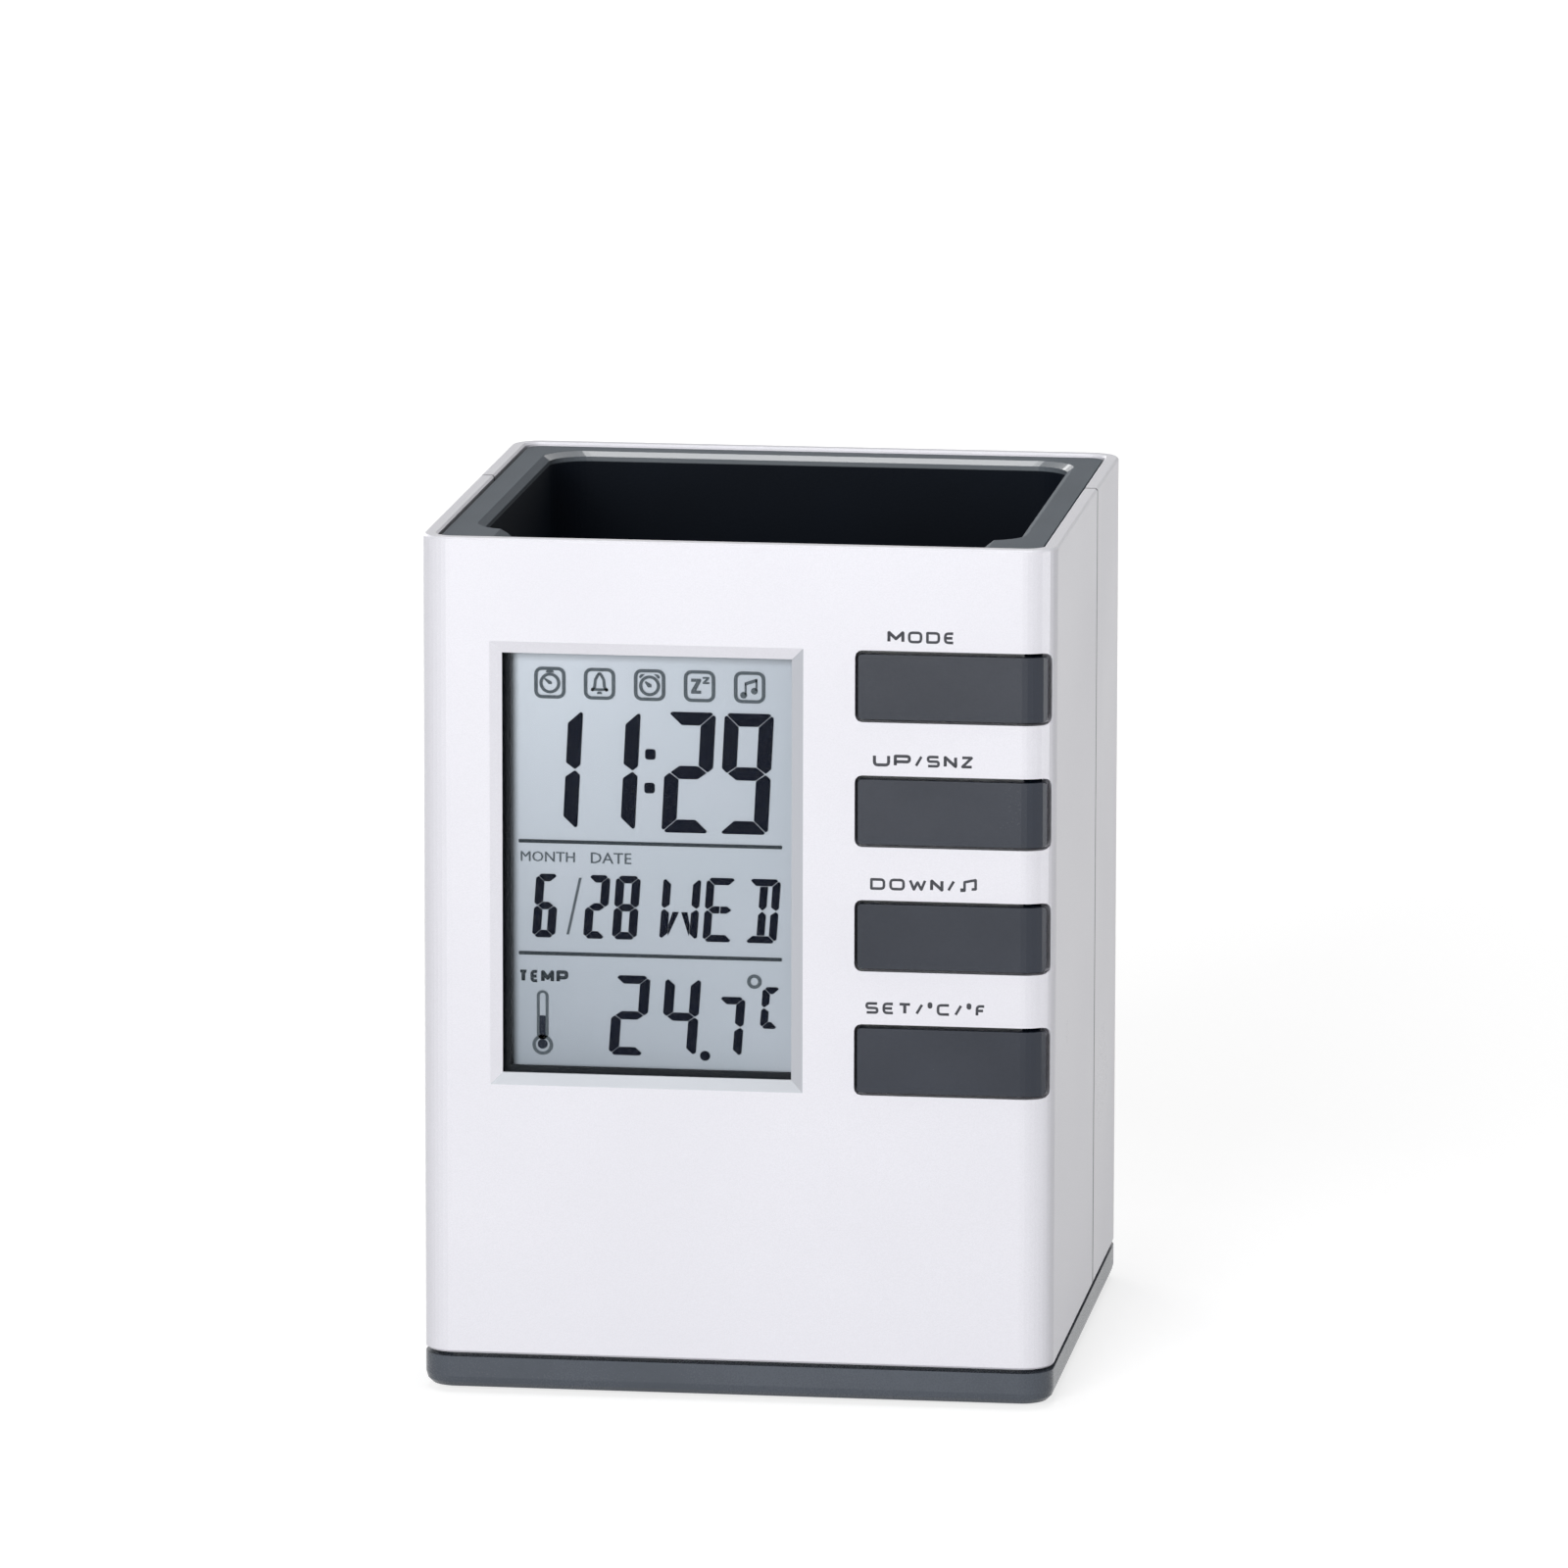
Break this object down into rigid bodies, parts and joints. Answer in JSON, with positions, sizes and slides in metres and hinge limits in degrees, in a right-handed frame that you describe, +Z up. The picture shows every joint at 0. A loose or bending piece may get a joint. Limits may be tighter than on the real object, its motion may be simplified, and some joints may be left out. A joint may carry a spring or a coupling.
{
  "type": "pen holder clock",
  "caption": "Square desk pen holder with a deep open pocket behind a digital clock front: portrait display window on the left, slot keys wrapped round the right corner.",
  "frame": {"origin": "centre of the footprint, on the table under the rubber feet", "axes": "+Z up; -Y towards the display and keys; +X to the right as seen from the front"},
  "size_m": [0.08, 0.0804, 0.1096],
  "materials": {
    "silver_shell": "satin silver-white paint",
    "dark_case": "fine satin, dark grey",
    "cup_grey": "fine satin, dark grey",
    "key_grey": "satin, slate grey",
    "clear_lens": "polished, clear",
    "display_glass": "polished",
    "reflector_film": "pearl grey",
    "holder_black": "matt black",
    "conductive_rubber": "fine black and pink layers",
    "board_green": "green solder mask",
    "epoxy_black": "smooth resin",
    "plated_steel": "nickel plate",
    "switch_black": "matt",
    "plunger_grey": "satin",
    "thermistor_resin": "dipped resin",
    "sounder_brass": "rolled",
    "sounder_ceramic": "silvered ceramic",
    "cell_wrap": "printed wrap, plain",
    "rubber_black": "soft, matt",
    "red_insulation": "smooth",
    "black_insulation": "smooth"
  },
  "bodies": {
    "housing": {"front_shell": "silver_shell", "rear_shell": "silver_shell", "pen_cup": "cup_grey", "base_tray": "dark_case", "display_lens": "clear_lens", "display_holder": "holder_black", "display_front_glass": "display_glass", "display_rear_glass": "display_glass", "reflector_film": "reflector_film", "upper_strip": "conductive_rubber", "lower_strip": "conductive_rubber", "mode_switch": "switch_black", "up_switch": "switch_black", "down_switch": "switch_black", "set_switch": "switch_black", "circuit_board": "board_green", "chip_blob": "epoxy_black", "capacitor": "epoxy_black", "quartz_crystal": "plated_steel", "board_screw_1": "plated_steel", "board_screw_2": "plated_steel", "board_screw_3": "plated_steel", "board_screw_4": "plated_steel", "case_screw_1": "plated_steel", "case_screw_2": "plated_steel", "case_screw_3": "plated_steel", "case_screw_4": "plated_steel", "link_contact": "plated_steel", "positive_contact": "plated_steel", "negative_contact": "plated_steel", "link_spring": "plated_steel", "negative_spring": "plated_steel", "thermistor": "thermistor_resin", "sounder_plate": "sounder_brass", "sounder_ceramic": "sounder_ceramic", "front_cell": "cell_wrap", "rear_cell": "cell_wrap", "foot_front_left": "rubber_black", "foot_front_right": "rubber_black", "foot_rear_left": "rubber_black", "foot_rear_right": "rubber_black", "red_lead": "red_insulation", "black_lead": "black_insulation", "sounder_lead_1": "black_insulation", "sounder_lead_2": "black_insulation"},
    "mode_key": {"mode_button": "key_grey", "mode_plunger": "plunger_grey"},
    "up_key": {"up_button": "key_grey", "up_plunger": "plunger_grey"},
    "down_key": {"down_button": "key_grey", "down_plunger": "plunger_grey"},
    "set_key": {"set_button": "key_grey", "set_plunger": "plunger_grey"},
    "cover": {"battery_cover": "dark_case"}
  },
  "joints": [
    {"name": "mode_press", "type": "slide", "parent": "housing", "child": "mode_key", "axis": [0, 1, 0], "range_m": [0, 0.0005], "stiffness_N_per_m": 2400},
    {"name": "up_press", "type": "slide", "parent": "housing", "child": "up_key", "axis": [0, 1, 0], "range_m": [0, 0.0005], "stiffness_N_per_m": 2400},
    {"name": "down_press", "type": "slide", "parent": "housing", "child": "down_key", "axis": [0, 1, 0], "range_m": [0, 0.0005], "stiffness_N_per_m": 2400},
    {"name": "set_press", "type": "slide", "parent": "housing", "child": "set_key", "axis": [0, 1, 0], "range_m": [0, 0.0005], "stiffness_N_per_m": 2400},
    {"name": "cover_slide", "type": "slide", "parent": "housing", "child": "cover", "axis": [0, 1, 0], "range_m": [0, 0.005]}
  ]
}
